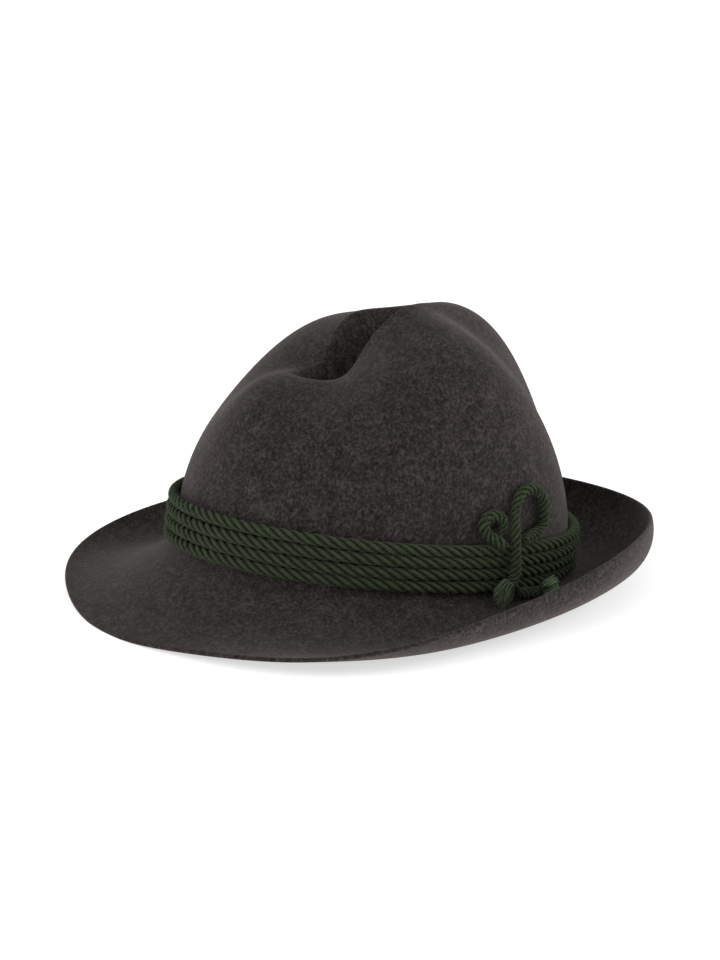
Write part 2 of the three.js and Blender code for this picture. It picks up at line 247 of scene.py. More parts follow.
@dataclass
class HatForm:
    """Outer form of the felt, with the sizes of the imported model, in millimetres and degrees.

    The rows of the two tables stand at equal angles from the front to the back. The crown's
    columns are the reach and height of its lip, the width of its shoulder, and the rise and lean
    of the wall's foot. The brim's columns are its share of the width and its slopes at the crown
    and at the edge.
    """

    crown_length: float = 206.0
    crown_width: float = 177.0
    crown_height: float = 131.0
    hollow_floor_height: float = 73.0
    top_forward: float = 26.0
    left_lobe_lift: float = 7.0
    brim_width: float = 60.0
    felt_wall: float = 2.2
    join_round: float = 4.0
    fold_share: float = 0.35
    bowl_share: float = 0.45
    brim_curl: float = 1.8
    lean: float = 7.1
    rest_height: float = 16.403
    middle_shift: float = -1.097
    crown_sections: Table = (
        (0.46, 0.70, 0.28, 0.51, 0.06),
        (0.25, 0.71, 0.22, 0.83, 0.11),
        (0.23, 0.893, 0.20, 1.11, 0.175),
        (0.30, 0.968, 0.09, 0.62, 0.195),
        (0.39, 0.984, 0.44, 0.27, 0.0),
    )
    brim_sections: Table = (
        (0.98, -36.0, -34.0),
        (1.0, -37.0, -10.0),
        (1.13, -39.0, 36.0),
        (0.95, -35.0, 89.0),
        (0.98, -9.0, 104.0),
        (1.0, -5.0, 109.0),
        (1.06, -3.0, 91.0),
    )

    @staticmethod
    def spread(rows: Table, angle: Array) -> list[Array]:
        """Columns of a table in any direction round the hat.

        The formula is the sum of cosines of 0, 1, 2 and more times the angle that passes through
        the rows, which stand at equal angles from the front to the back.

        Args:
            rows: Table whose columns are spread.
            angle: Directions, in radians from the front.

        Returns:
            One array for each column.
        """
        last = len(rows) - 1
        wave = np.arange(last + 1)
        weight = np.where((wave == 0) | (wave == last), 0.5, 1.0)
        cosines = np.cos(np.pi * np.outer(wave, wave) / last)
        weighted = weight[:, None] * np.array(rows)
        strengths = (2.0 / last) * weight[:, None] * (cosines @ weighted)
        return list(np.moveaxis(np.cos(angle[..., None] * wave) @ strengths, -1, 0))

    def crown_points(self, angle: Array, reach: Array, height: Array) -> Array:
        """Points at a share of the foot's reach, on ellipses that slide forward as they shrink."""
        across = reach * self.crown_width / 2 * np.sin(angle)
        along = -reach * self.crown_length / 2 * np.cos(angle) - self.top_forward * (1 - reach)
        return np.stack(np.broadcast_arrays(across, along, height), axis=-1)

    def lip(self, angle: Array) -> tuple[list[Array], Array]:
        """Crown table's columns and the height of the hollow's lip, in a direction."""
        columns = self.spread(self.crown_sections, angle)
        lift = self.left_lobe_lift * np.sin(angle) * (1 - np.cos(angle)) / 2
        return columns, self.crown_height * columns[1] + lift

    def wall_profile(self, angle: Array) -> Profile:
        """Outside of the crown's wall, from the foot to the lip of the hollow."""
        (reach, _, shoulder, rise, lean), top = self.lip(angle)
        return Profile(
            [np.ones_like(reach), 1 + lean * rise, reach + shoulder, reach],
            [np.zeros_like(top), rise * top, top, top],
        )

    def hollow_profile(self, angle: Array) -> Profile:
        """Hollow in the crown's top, from its floor to its lip."""
        (reach, *_), top = self.lip(angle)
        floor = np.full_like(top, self.hollow_floor_height)
        return Profile(
            [np.zeros_like(reach), self.bowl_share * reach, (1 - self.fold_share) * reach, reach],
            [floor, floor, top, top],
        )

    def wall_points(self, angle: Array, place: Array) -> Array:
        """Points of the crown's wall."""
        reach, height = self.wall_profile(angle).at(place)
        return self.crown_points(angle, reach, height)

    def brim_points(self, angle: Array, share: Array) -> Array:
        """Top of the brim, from 0 at the crown to 1 at the edge.

        The formula adds up small steps of the brim's width, each at the slope
        start + (end - start) * share ^ curl.

        Args:
            angle: Directions, in radians from the front.
            share: Shares of the brim's width.

        Returns:
            Points, in the shape of the inputs.
        """
        width, start, end = self.spread(self.brim_sections, angle)
        start, end = np.radians(start), np.radians(end)
        step_count = 24
        step = share / step_count
        middles = (np.arange(step_count) + 0.5)[:, None, None] * step
        slopes = start + (end - start) * middles**self.brim_curl
        out = np.sum(np.cos(slopes), axis=0) * step * width * self.brim_width
        up = np.sum(np.sin(slopes), axis=0) * step * width * self.brim_width
        foot = self.crown_points(angle, np.ones_like(angle), up)
        normal = np.stack(
            [np.sin(angle) / self.crown_width, -np.cos(angle) / self.crown_length], axis=-1
        )
        foot[..., :2] += unit(normal) * out[..., None]
        return foot

    def join_points(self, angle: Array, share: Array) -> Array:
        """Round bend from the wall to the brim: a curve with the crown's foot as its handle."""
        place = self.wall_profile(angle).place_at_height(np.full(angle.shape, self.join_round))
        above = self.wall_points(angle, place)
        foot = self.crown_points(angle, np.ones_like(angle), np.zeros_like(angle))
        beyond = self.brim_points(angle, np.full(angle.shape, self.join_round / self.brim_width))
        rest = (1 - share)[..., None]
        turned = share[..., None]
        return rest**2 * above + 2 * rest * turned * foot + turned**2 * beyond

    def wall_offset(self, angle: Array, height: Array, out: Array) -> tuple[Array, Array]:
        """Points that stand off the crown's wall.

        Args:
            angle: Directions, in radians from the front.
            height: Heights above the crown's foot.
            out: Distances from the felt's outside.

        Returns:
            The points, and the wall's outward directions there.
        """
        small = 0.004
        place = self.wall_profile(angle).place_at_height(height)
        base = self.wall_points(angle, place)
        lower = np.maximum(place - small, 0.0)
        down = self.wall_points(angle, lower) - self.wall_points(angle, place + small)
        ahead = self.wall_profile(angle + small).place_at_height(height)
        behind = self.wall_profile(angle - small).place_at_height(height)
        around = self.wall_points(angle + small, ahead) - self.wall_points(angle - small, behind)
        normal = unit(np.cross(down, around))
        return base + normal * np.asarray(out)[..., None], normal

    def turned(self, vectors: Array) -> Array:
        """Directions after the hat leans back on its brim."""
        angle = math.radians(-self.lean)
        sine, cosine = math.sin(angle), math.cos(angle)
        across, along, up = np.moveaxis(vectors, -1, 0)
        leant = (across, along * cosine - up * sine, along * sine + up * cosine)
        return np.stack(leant, axis=-1)

    def at_rest(self, points: Array) -> Array:
        """Points after the hat leans back, stands on its brim and is centred."""
        return self.turned(points) + np.array([0.0, self.middle_shift, self.rest_height])


@dataclass(frozen=True)
class Grain:
    """One layer of noise in a finish.

    Attributes:
        size_mm: Size of one cloud.
        detail: Number of finer layers in it.
        pull: How far the clouds are pulled about.
        share: Weight of the layer in the finish's tone.
    """

    size_mm: float
    detail: float
    pull: float
    share: float = 1.0


class Shade:
    """Shader socket that can be written in sums, so that an expression adds its Math nodes."""

    def __init__(self, sketch: MaterialSketch, socket: Socket) -> None:
        """Keeps the socket and the sketch that it belongs to."""
        self.sketch = sketch
        self.socket = socket

    def _math(self, operation: str, first: Shade | float, second: Shade | float) -> Shade:
        """Result of a Math node on two values."""
        return self.sketch.shade("ShaderNodeMath", {"operation": operation}, {0: first, 1: second})
    def __add__(self, other: Shade | float) -> Shade:
        """This value plus another."""
        return self._math("ADD", self, other)

    __radd__ = __add__

    def __sub__(self, other: Shade | float) -> Shade:
        """This value less another."""
        return self._math("SUBTRACT", self, other)

    def __rsub__(self, other: float) -> Shade:
        """A number less this value."""
        return self._math("SUBTRACT", other, self)

    def __mul__(self, other: Shade | float) -> Shade:
        """This value times another."""
        return self._math("MULTIPLY", self, other)

    __rmul__ = __mul__

    def wave(self) -> Shade:
        """Sine of this value, in radians, moved to run from 0 to 1."""
        return self._math("SINE", self, 0.0) * 0.5 + 0.5

    def clipped(self) -> Shade:
        """This value held between 0 and 1."""
        return self.sketch.shade("ShaderNodeClamp", {}, {"Value": self})

    def between(self, low: float, high: float) -> Shade:
        """Share from 0 to 1 of the way from one number to another, with soft ends."""
        return self.sketch.shade(
            "ShaderNodeMapRange",
            {"interpolation_type": "SMOOTHSTEP"},
            {"Value": self, "From Min": low, "From Max": high},
        )


class MaterialSketch:
    """Node tree of one material, built round a Principled shader."""

    def __init__(self, name: str) -> None:
        """Starts a material whose tree holds only the shader and the output."""
        self.material = bpy.data.materials.new(name)
        self.material.use_nodes = True
        self.tree = self.material.node_tree
        self.tree.nodes.clear()
        self.shader = self.node("ShaderNodeBsdfPrincipled", {}, {})
        self.node("ShaderNodeOutputMaterial", {}, {"Surface": self.shader.outputs[0]})

    def feed(self, socket: Socket, value: object) -> None:
        """Gives a socket its value, or links it where the value is a shade or a socket."""
        if isinstance(value, Shade):
            value = value.socket
        if isinstance(value, Socket):
            self.tree.links.new(value, socket)
        else:
            socket.default_value = value

    def node(
        self, kind: str, settings: dict[str, object], inputs: dict[str | int, object]
    ) -> bpy.types.Node:
        """Adds a node.

        Args:
            kind: Blender's name of the node type.
            settings: Node properties, set before the sockets.
            inputs: Values, sockets or shades of the sockets, by name or number.

        Returns:
            The node.
        """
        made = self.tree.nodes.new(kind)
        for label, value in settings.items():
            setattr(made, label, value)
        for label, value in inputs.items():
            self.feed(made.inputs[label], value)
        return made

    def shade(
        self,
        kind: str,
        settings: dict[str, object],
        inputs: dict[str | int, object],
        output: str | int = 0,
    ) -> Shade:
        """Adds a node, as above, and takes one of its outputs as a shade."""
        return Shade(self, self.node(kind, settings, inputs).outputs[output])

    def place(self, stretch: tuple[float, float, float] = (1.0, 1.0, 1.0)) -> Socket:
        """Place on the object, in metres, stretched along each axis."""
        coordinates = self.node("ShaderNodeTexCoord", {}, {}).outputs["Object"]
        mapping = self.node("ShaderNodeMapping", {}, {"Vector": coordinates, "Scale": stretch})
        return mapping.outputs[0]

    def number(self, label: str) -> Shade:
        """Number that the mesh carries at each point."""
        return self.shade("ShaderNodeAttribute", {"attribute_name": label}, {}, "Fac")

    def noise(self, place: Socket, grain: Grain) -> Shade:
        """Cloudy noise from 0 to 1, at a place in metres."""
        inputs = {
            "Vector": place,
            "Scale": 1.0 / (grain.size_mm * METRES_PER_MM),
            "Detail": grain.detail,
            "Roughness": 0.6,
            "Distortion": grain.pull,
        }
        return self.shade("ShaderNodeTexNoise", {}, inputs)

    def blend(self, share: Shade, first: Colour | Socket, second: Colour | Socket) -> Socket:
        """Colour between two others, at a share of the way."""
        inputs = {0: share, 6: first, 7: second}
        return self.node("ShaderNodeMix", {"data_type": "RGBA"}, inputs).outputs[2]

    def finish(
        self,
        colour: Colour | Socket,
        settings: dict[str, object],
        relief: Shade | None = None,
        relief_mm: float = 0.0,
    ) -> Material:
        """Gives the shader its colour, its relief and the rest.

        Args:
            colour: Base colour.
            settings: Values of the shader's other sockets.
            relief: Height of the surface's fine relief, from 0 to 1.
            relief_mm: Depth of that relief.

        Returns:
            The material.
        """
        inputs = {"Base Color": colour, **settings}
        if relief is not None:
            depth = relief_mm * METRES_PER_MM
            bump = {"Height": relief, "Distance": depth, "Strength": 1.0}
            inputs["Normal"] = self.node("ShaderNodeBump", {}, bump).outputs[0]
        for label, value in inputs.items():
            self.feed(self.shader.inputs[label], value)
        return self.material


@dataclass(frozen=True)
class WoolFelt:
    """Grey-brown wool felt: a mottled mix of dark and pale fibres under a short fuzz."""

    dark: Colour = (0.0065, 0.0055, 0.0052, 1.0)
    middle: Colour = (0.0270, 0.0222, 0.0208, 1.0)
    pale: Colour = (0.0620, 0.0545, 0.0520, 1.0)
    fibre_sizes: tuple[float, ...] = (0.60, 0.64, 0.58)
    fibre_stretches: Table = ((1.0, 0.35, 0.5), (0.35, 1.0, 0.5), (0.6, 0.5, 0.3))
    fibre_share: float = 0.45
    clouds: Grain = Grain(9.0, 3.0, 0.4, 0.12)
    tufts: Grain = Grain(3.2, 2.0, 0.4, 0.20)
    specks: Grain = Grain(1.5, 4.0, 0.1, 0.35)
    tone_range: Range = (0.37, 0.63)
    relief_specks: float = 0.4
    relief_mm: float = 0.4

    def material(self, name: str) -> Material:
        """Material of the felt.

        Short fibres are noise pulled long in three directions; tufts and specks of dark and pale
        wool lie among them, with broad clouds of the dye, and the relief follows the fibres.
        """
        sketch = MaterialSketch(name)
        fibres = [
            sketch.noise(sketch.place(stretch), Grain(size, detail=2.0, pull=0.2))
            for size, stretch in zip(self.fibre_sizes, self.fibre_stretches)
        ]
        place = sketch.place()
        clouds = sketch.noise(place, self.clouds)
        tufts = sketch.noise(place, self.tufts)
        specks = sketch.noise(place, self.specks)
        mix = sum(fibres[1:], fibres[0]) * (1.0 / len(fibres))
        tone = mix * self.fibre_share + specks * self.specks.share + tufts * self.tufts.share
        tone = (tone + (clouds - 0.5) * self.clouds.share).between(*self.tone_range)
        lower = sketch.blend((tone * 2.0).clipped(), self.dark, self.middle)
        colour = sketch.blend((tone * 2.0 - 1.0).clipped(), lower, self.pale)
        gloss = {
            "Roughness": 0.95,
            "Specular IOR Level": 0.1,
            "Sheen Weight": 0.18,
            "Sheen Roughness": 0.5,
            "Sheen Tint": (0.88, 0.78, 0.75, 1.0),
        }
        relief = mix * (1 - self.relief_specks) + specks * self.relief_specks
        return sketch.finish(colour, gloss, relief, self.relief_mm)


@dataclass(frozen=True)
class CordWool:
    """Dark green wool: fine yarns that run along each ply, with painted shade in the grooves."""

    # groove, shadow and crest paint the cord's shading into its colour: painted shade in the
    # grooves, a painted highlight on the plies' backs.
    groove: Colour = (0.0028, 0.0036, 0.0022, 1.0)
    shadow: Colour = (0.0115, 0.0155, 0.0085, 1.0)
    crest: Colour = (0.0620, 0.0840, 0.0420, 1.0)
    yarn_count: int = 6
    yarns_per_metre: float = 260.0
    yarn_wander: float = 1.2
    crest_highlight_share: float = 0.75
    yarn_share: float = 0.18
    wander: Grain = Grain(1.6, 2.0, 0.3, 0.4)
    fuzz: Grain = Grain(0.35, 3.0, 1.0, 0.7)
    groove_shade_range: Range = (0.05, 0.45)
    tone_range: Range = (0.45, 1.05)
    relief_fuzz: float = 0.5
    relief_mm: float = 0.3

    def material(self, name: str) -> Material:
        """Material of the cord.

        The mesh carries "ply", the place across a ply in turns, "run", the distance along the
        cord in metres, and "crest", which is 0 in a groove and 1 on a ply's back. Yarns are a
        sine of ply and run, broken up by noise, and their height is the relief. The colour
        follows the crest from the groove colour up to the crest colour: painted shade in the
        grooves and a painted highlight on the plies' backs.
        """
        sketch = MaterialSketch(name)
        ply, run, crest = (sketch.number(label) for label in ("ply", "run", "crest"))
        place = sketch.place()
        wander = sketch.noise(place, self.wander)
        fuzz = sketch.noise(place, self.fuzz)
        across = ply * self.yarn_count + run * self.yarns_per_metre + wander * self.yarn_wander
        yarns = (across * math.tau).wave()
        tone = crest * self.crest_highlight_share + yarns * self.yarn_share
        tone = tone + (fuzz - 0.5) * self.fuzz.share + (wander - 0.5) * self.wander.share
        # Painted shade and highlight: the colour follows the crest from the groove colour up to
        # the crest colour.
        lower = sketch.blend(crest.between(*self.groove_shade_range), self.groove, self.shadow)
        colour = sketch.blend(tone.between(*self.tone_range), lower, self.crest)
        gloss = {
            "Roughness": 0.9,
            "Specular IOR Level": 0.12,
            "Sheen Weight": 0.12,
            "Sheen Roughness": 0.5,
            "Sheen Tint": (0.65, 0.8, 0.55, 1.0),
        }
        relief = yarns * (1 - self.relief_fuzz) + fuzz * self.relief_fuzz
        return sketch.finish(colour, gloss, relief, self.relief_mm)


@dataclass(frozen=True)
class FrayWool:
    """The same wool as the cord's where its plies are opened to loose fibres."""

    # root is painted shade near the cord; the fibres lift to the tip colour towards their loose
    # ends.
    root: Colour = (0.0120, 0.0175, 0.0100, 1.0)
    tip: Colour = (0.1500, 0.2000, 0.1120, 1.0)
    root_shade_share: float = 0.35
    shade_share: float = 0.6
    patches: Grain = Grain(1.2, 2.0, 0.0, 0.5)
    tone_range: Range = (0.1, 0.95)

    def material(self, name: str) -> Material:
        """Material of the fibres.

        The mesh carries "tip", which is 0 at the cord and 1 at the loose end, and "shade", which
        is one random number for each fibre. The colour darkens from the tip towards the cord:
        painted shade near the cord.
        """
        sketch = MaterialSketch(name)
        patches = sketch.noise(sketch.place(), self.patches)
        # Painted shade: darker towards the cord, lighter towards the loose ends.
        tone = sketch.number("tip") * self.root_shade_share + sketch.number("shade") * self.shade_share
        tone = tone + (patches - 0.5) * self.patches.share
        colour = sketch.blend(tone.between(*self.tone_range), self.root, self.tip)
        gloss = {"Roughness": 0.85, "Specular IOR Level": 0.2, "Sheen Weight": 0.1}
        return sketch.finish(colour, gloss)


@dataclass(frozen=True)
class SmoothLeather:
    """Brown sweatband leather with fine pores."""

    dark: Colour = (0.060, 0.026, 0.012, 1.0)
    pale: Colour = (0.135, 0.062, 0.028, 1.0)
    clouds: Grain = Grain(14.0, 4.0, 0.5, 0.8)
    pore_mm: float = 0.9
    pore_edge: float = 0.22
    pore_share: float = 0.2
    tone_range: Range = (0.25, 0.8)
    relief_mm: float = 0.12

    def material(self, name: str) -> Material:
        """Material of the leather: clouds of dye, and cell-shaped grain as relief."""
        sketch = MaterialSketch(name)
        place = sketch.place()
        clouds = sketch.noise(place, self.clouds)
        cells = {"Vector": place, "Scale": 1.0 / (self.pore_mm * METRES_PER_MM)}
        pores = sketch.shade(
            "ShaderNodeTexVoronoi", {"feature": "DISTANCE_TO_EDGE"}, cells, "Distance"
        ).between(0.0, self.pore_edge)
        tone = (clouds * self.clouds.share + pores * self.pore_share).between(*self.tone_range)
        colour = sketch.blend(tone, self.dark, self.pale)
        gloss = {"Roughness": 0.62 - pores * 0.15, "Specular IOR Level": 0.45}
        return sketch.finish(colour, gloss, pores, self.relief_mm)


@dataclass(frozen=True)
class WaxedThread:
    """Pale brown sewing thread."""

    dark: Colour = (0.09, 0.055, 0.03, 1.0)
    pale: Colour = (0.16, 0.10, 0.055, 1.0)
    dye: Grain = Grain(0.8, 2.0, 0.0)

    def material(self, name: str) -> Material:
        """Material of the thread, a little uneven in its dye."""
        sketch = MaterialSketch(name)
        colour = sketch.blend(sketch.noise(sketch.place(), self.dye), self.dark, self.pale)
        return sketch.finish(colour, {"Roughness": 0.6})


def dressed(name: str, surface: Surface, material: Material, slot: str, *nodes: str) -> None:
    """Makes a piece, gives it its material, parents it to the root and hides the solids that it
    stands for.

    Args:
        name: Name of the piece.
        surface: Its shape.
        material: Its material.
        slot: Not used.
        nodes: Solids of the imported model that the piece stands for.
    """
    piece = surface.to_object(name)
    piece.data.materials.append(material)
    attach(piece, "root")
    if nodes:
        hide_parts(*nodes)
    log.info("%s: %d faces", piece.name, len(piece.data.polygons))


@dataclass
class FeltBody:
    """Crown and brim: one piece of felt with an even wall and a rounded cut edge."""

    form: HatForm
    columns: int = 272
    hollow_rows: int = 44
    wall_rows: int = 74
    join_rows: int = 8
    brim_rows: int = 52
    edge_rows: int = 6

    def top_rings(self) -> Array:
        """Points of the felt's outside, from the hollow's floor to the brim's edge."""
        form = self.form
        angle = np.linspace(0.0, 2 * np.pi, self.columns, endpoint=False)[None, :]

        def over(rows: int, first: float, last: float) -> tuple[Array, Array]:
            """Directions and shares of some rows, from the first share to the last."""
            share = np.linspace(first, last, rows)[:, None] * np.ones_like(angle)
            return np.broadcast_to(angle, share.shape), share

        around, share = over(self.hollow_rows, 1.0 / self.hollow_rows, 1.0)
        reach, height = form.hollow_profile(around).at(share)
        hollow = form.crown_points(around, reach, height)
        around, share = over(self.wall_rows + 1, 0.0, 1.0)
        foot = form.wall_profile(around).place_at_height(np.full(share.shape, form.join_round))
        wall = form.wall_points(around, 1.0 - share * (1.0 - foot))[1:]
        around, share = over(self.join_rows + 1, 0.0, 1.0)
        join = form.join_points(around, share)[1:]
        around, share = over(self.brim_rows + 1, form.join_round / form.brim_width, 1.0)
        brim = form.brim_points(around, share)[1:]
        return np.concatenate([hollow, wall, join, brim])

    @staticmethod
    def directions(rings: Array) -> tuple[Array, Array]:
        """Outward and rowward unit directions of a grid of rings, from its own steps."""
        down = np.gradient(rings, axis=0)
        around = np.roll(rings, -1, axis=1) - np.roll(rings, 1, axis=1)
        return unit(np.cross(down, around)), unit(down)

    def surface(self) -> Surface:
        """Felt at rest: the outside, half a circle round the cut edge, and the inside.

        The inside is the outside moved inwards by the wall along its own directions. What would
        lie under the surface that the hat rests on is pressed flat on it.
        """
        form = self.form
        top = self.top_rings()
        outward, rowward = self.directions(top)
        inside = top - form.felt_wall * outward
        turn = np.linspace(0.0, np.pi, self.edge_rows + 2)[1:-1, None, None]
        half = form.felt_wall / 2
        edge = (
            top[-1]
            - half * outward[-1]
            + half * np.cos(turn) * outward[-1]
            + half * np.sin(turn) * rowward[-1]
        )
        rings = form.at_rest(np.concatenate([top, edge, inside[::-1]]))
        floor = np.array([[0.0, -form.top_forward, form.hollow_floor_height]])
        tips = form.at_rest(np.concatenate([floor, floor - [[0.0, 0.0, form.felt_wall]]]))
        made = closed_sweep(rings, *tips)
        made.points[:, 2] = np.maximum(made.points[:, 2], 0.0)
        return made

    def build(self) -> None:
        """Makes the felt and dresses it."""
        felt = WoolFelt().material("wool_felt")
        dressed("felt_skin", self.surface(), felt, "felt", "felt_body")


@dataclass
class Sweatband:
    """Leather band inside the crown's foot, with a row of stitches near its lower edge."""

    form: HatForm
    height: float = 38.0
    wall: float = 1.0
    gap: float = 0.6
    foot_gap: float = 0.3
    columns: int = 240
    rows: int = 26
    edge_rows: int = 3
    stitch_height: float = 3.2
    stitch_length: float = 2.6
    stitch_gap: float = 1.3
    stitch_rows: int = 6
    thread_radius: float = 0.28
    thread_rise: float = 0.4
    thread_corners: int = 6

    def surface(self) -> Surface:
        """Leather at rest: a closed ring with rounded upper and lower edges."""
        form = self.form
        half = self.wall / 2
        turn = np.linspace(0.0, np.pi, self.edge_rows + 1)
        low, high = self.foot_gap + half, self.foot_gap + self.height - half
        heights = (
            np.linspace(high, low, self.rows),
            low - half * np.sin(turn),
            np.linspace(low, high, self.rows),
            high + half * np.sin(turn),
        )
        face, edge = np.full(self.rows, half), half * np.cos(turn)
        outs = np.concatenate([face, edge, -face, -edge]) - (form.felt_wall + self.gap + half)
        angle = np.linspace(0.0, 2 * np.pi, self.columns, endpoint=False)
        grid = np.broadcast_arrays(angle, np.concatenate(heights)[:, None], outs[:, None])
        points, _ = form.wall_offset(*grid)
        faces = grid_faces(*grid[0].shape, True)
        return Surface(form.at_rest(points).reshape(-1, 3), [faces])

    def stitches(self) -> Surface:
        """Short threads on the band's inner face, each a tube with drawn-in ends.

        At a step s from -0.5 to 0.5 along a stitch, its radius is that of the thread times
        sqrt(1 - (2 s)^4), which is held above a small share at the ends.
        """
        form = self.form
        out = -(form.felt_wall + self.gap + self.wall + self.thread_rise * self.thread_radius)
        middle_radius = (form.crown_length + form.crown_width) / 4
        count = int(2 * np.pi * middle_radius / (self.stitch_length + self.stitch_gap))
        steps = np.linspace(-0.5, 0.5, self.stitch_rows)
        middles = np.linspace(0.0, 2 * np.pi, count, endpoint=False)[:, None]
        angles = middles + steps * self.stitch_length / middle_radius
        heights = np.full(angles.shape, self.stitch_height)
        centres, normals = form.wall_offset(angles, heights, np.full(angles.shape, out))
        swell = self.thread_radius * np.sqrt(np.maximum(1.0 - (steps * 2) ** 4, 0.02))
        made = hair_tubes(centres, normals, swell, self.thread_corners)
        made.points = form.at_rest(made.points)
        return made

    def build(self) -> None:
        """Makes the leather and its stitches."""
        leather = SmoothLeather().material("smooth_leather")
        dressed("sweatband_leather", self.surface(), leather, "leather", "sweatband")
        thread = WaxedThread().material("waxed_thread")
        dressed("sweatband_stitches", self.stitches(), thread, "leather")


@dataclass
class Track:
    """Way that a cord takes, in millimetres.

    Attributes:
        points: Points of the cord's axis, evenly spaced.
        facing: Directions away from the wall, one for each point.
        thickness: Share of the cord's diameter that is left where it is pulled, at each point.
        closed: Whether the last point is followed by the first.
    """

    points: Array
    facing: Array
    thickness: Array
    closed: bool


@dataclass
class TwistedCord:
    """Round cord of plies that are laid right-handed, swept along a track."""

    diameter: float
    lay: float
    plies: int = 4
    columns_per_ply: int = 10
    step: float = 0.85
    end_share: float = 0.08
    hairs_per_mm: float = 5.0
    hair_length: float = 1.6
    hair_shortest: float = 0.4
    hair_spread: float = 1.3
    hair_bend: float = 0.35
    hair_side: float = 0.05
    hair_corners: int = 3
    hair_radii: tuple[float, ...] = (0.06, 0.048, 0.03)

    def section(self) -> tuple[Array, Array, Array]:
        """Outline of the plies, each a circle that touches its neighbours.

        With n plies, a ply's middle stands d from the cord's axis and its radius is d sin(pi/n),
        so that both add up to the cord's radius. At an angle a from the ply's middle its skin
        stands at d cos a + sqrt(radius^2 - d^2 sin^2 a).

        Returns:
            Angles round the cord, distances from its axis, and the crest number, which is 0 in a
            groove and 1 on a ply's back.
        """
        half = np.pi / self.plies
        away = (self.diameter / 2) / (1 + np.sin(half))
        radius = away * np.sin(half)
        across = (np.arange(self.columns_per_ply) / self.columns_per_ply * 2 - 1) * half
        reach = away * np.cos(across) + np.sqrt(
            np.maximum(radius**2 - (away * np.sin(across)) ** 2, 0.0)
        )
        turn = (np.arange(self.plies)[:, None] * 2 * half + across).ravel()
        reach = np.tile(reach, self.plies)
        deep = away * np.cos(half)
        return turn, reach, (reach - deep) / (self.diameter / 2 - deep)

    def rings(self, track: Track) -> tuple[Array, Array]:
        """Rings of the cord's skin, one for each point of its track.

        The section turns by one full turn over each lay of the track's length. On a closed track
        the lay is trimmed so that whole plies meet at the seam. Open ends are rounded in.

        Args:
            track: Way that the cord takes.

        Returns:
            Points by row, column and coordinate, and the running length at each row.
        """
        path, scale = track.points, track.thickness
        run = running_length(path)
        if track.closed:
            ahead = np.roll(path, -1, axis=0)
            tangents = unit(ahead - np.roll(path, 1, axis=0))
            total = np.sum(np.linalg.norm(ahead - path, axis=-1))
            repeats = round(total * self.plies / self.lay)
            turned = 2 * np.pi * run / total * repeats / self.plies
        else:
            tangents = unit(np.gradient(path, axis=0))
            turned = 2 * np.pi * run / self.lay
            from_end = np.minimum(run, run[-1] - run) / (self.diameter / 2)
            scale = scale * np.sqrt(1 - (1 - np.clip(from_end, self.end_share, 1)) ** 2)
        side = square_to(track.facing, tangents)[:, None]
        other = np.cross(tangents[:, None], side)
        turn, reach, _ = self.section()
        swing = (turned[:, None] + turn)[..., None]
        out = np.cos(swing) * side + np.sin(swing) * other
        rings = path[:, None] + out * (reach * scale[:, None])[..., None]
        return rings[:, ::-1], run

    def sweep(self, track: Track) -> Surface:
        """Skin of the cord along a track.

        Args:
            track: Way that the cord takes.

        Returns:
            The surface with the numbers "ply", "run" and "crest".
        """
        rings, run = self.rings(track)
        turn, _, crest = self.section()
        grid = rings.shape[:2]
        if track.closed:
            made = Surface(rings.reshape(-1, 3), [grid_faces(*grid, True)])
        else:
            made = closed_sweep(rings, track.points[0], track.points[-1])
        tips = np.zeros(len(made.points) - crest.size * run.size)
        numbers = {
            "ply": turn[::-1] * self.plies / (2 * np.pi),
            "run": run[:, None] * METRES_PER_MM,
            "crest": crest[::-1],
        }
        for label, values in numbers.items():
            made.numbers[label] = np.append(np.broadcast_to(values, grid), tips)
        return made

    def fuzz(self, track: Track, seed: int) -> Surface:
        """Short loose hairs on the side of the cord that faces away from the wall.

        A hair starts at a random place of the skin, most often on a ply's back. It leaves along
        the outward direction plus the spread times a random one, and is drawn back towards the
        cord by the bend times its length times the square of its share.

        Args:
            track: Way that the cord takes.
            seed: Start of the random numbers.

        Returns:
            The hairs with the numbers "tip" and "shade".
        """
        rng = np.random.default_rng(seed)
        rings, run = self.rings(track)
        out = unit(rings - track.points[:, None])
        away = np.sum(out * track.facing[:, None], axis=-1)
        chance = self.section()[2][::-1] * (away > self.hair_side)
        count = int(run[-1] * self.hairs_per_mm)
        picked = rng.choice(chance.size, size=count, p=chance.ravel() / chance.sum())
        start, outward = (grid.reshape(-1, 1, 3)[picked] for grid in (rings, out))
        heading = unit(outward + self.hair_spread * unit(rng.normal(size=outward.shape)))
        share = np.linspace(0.0, 1.0, len(self.hair_radii))[:, None]
        reach = self.hair_length * (self.hair_shortest + rng.random((count, 1, 1)))
        lines = start + reach * (heading * share - self.hair_bend * outward * share**2)
        across = unit(np.cross(heading, rng.normal(size=outward.shape)))
        radii = np.array(self.hair_radii)
        return hair_tubes(lines, across, radii, self.hair_corners, rng.random(count))

    def build(
        self, name: str, node: str, track: Track, seed: int, finishes: tuple[Material, Material]
    ) -> None:
        """Makes a stretch of cord and its loose hairs, and dresses both.

        Args:
            name: What the two pieces' names end with.
            node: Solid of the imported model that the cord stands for.
            track: Way that the cord takes.
            seed: Start of the hairs' random numbers.
            finishes: Materials of the cord and of its hairs.
        """
        dressed(f"twisted_{name}", self.sweep(track), finishes[0], "cord", node)
        dressed(f"fuzz_{name}", self.fuzz(track, seed), finishes[1], "cord")


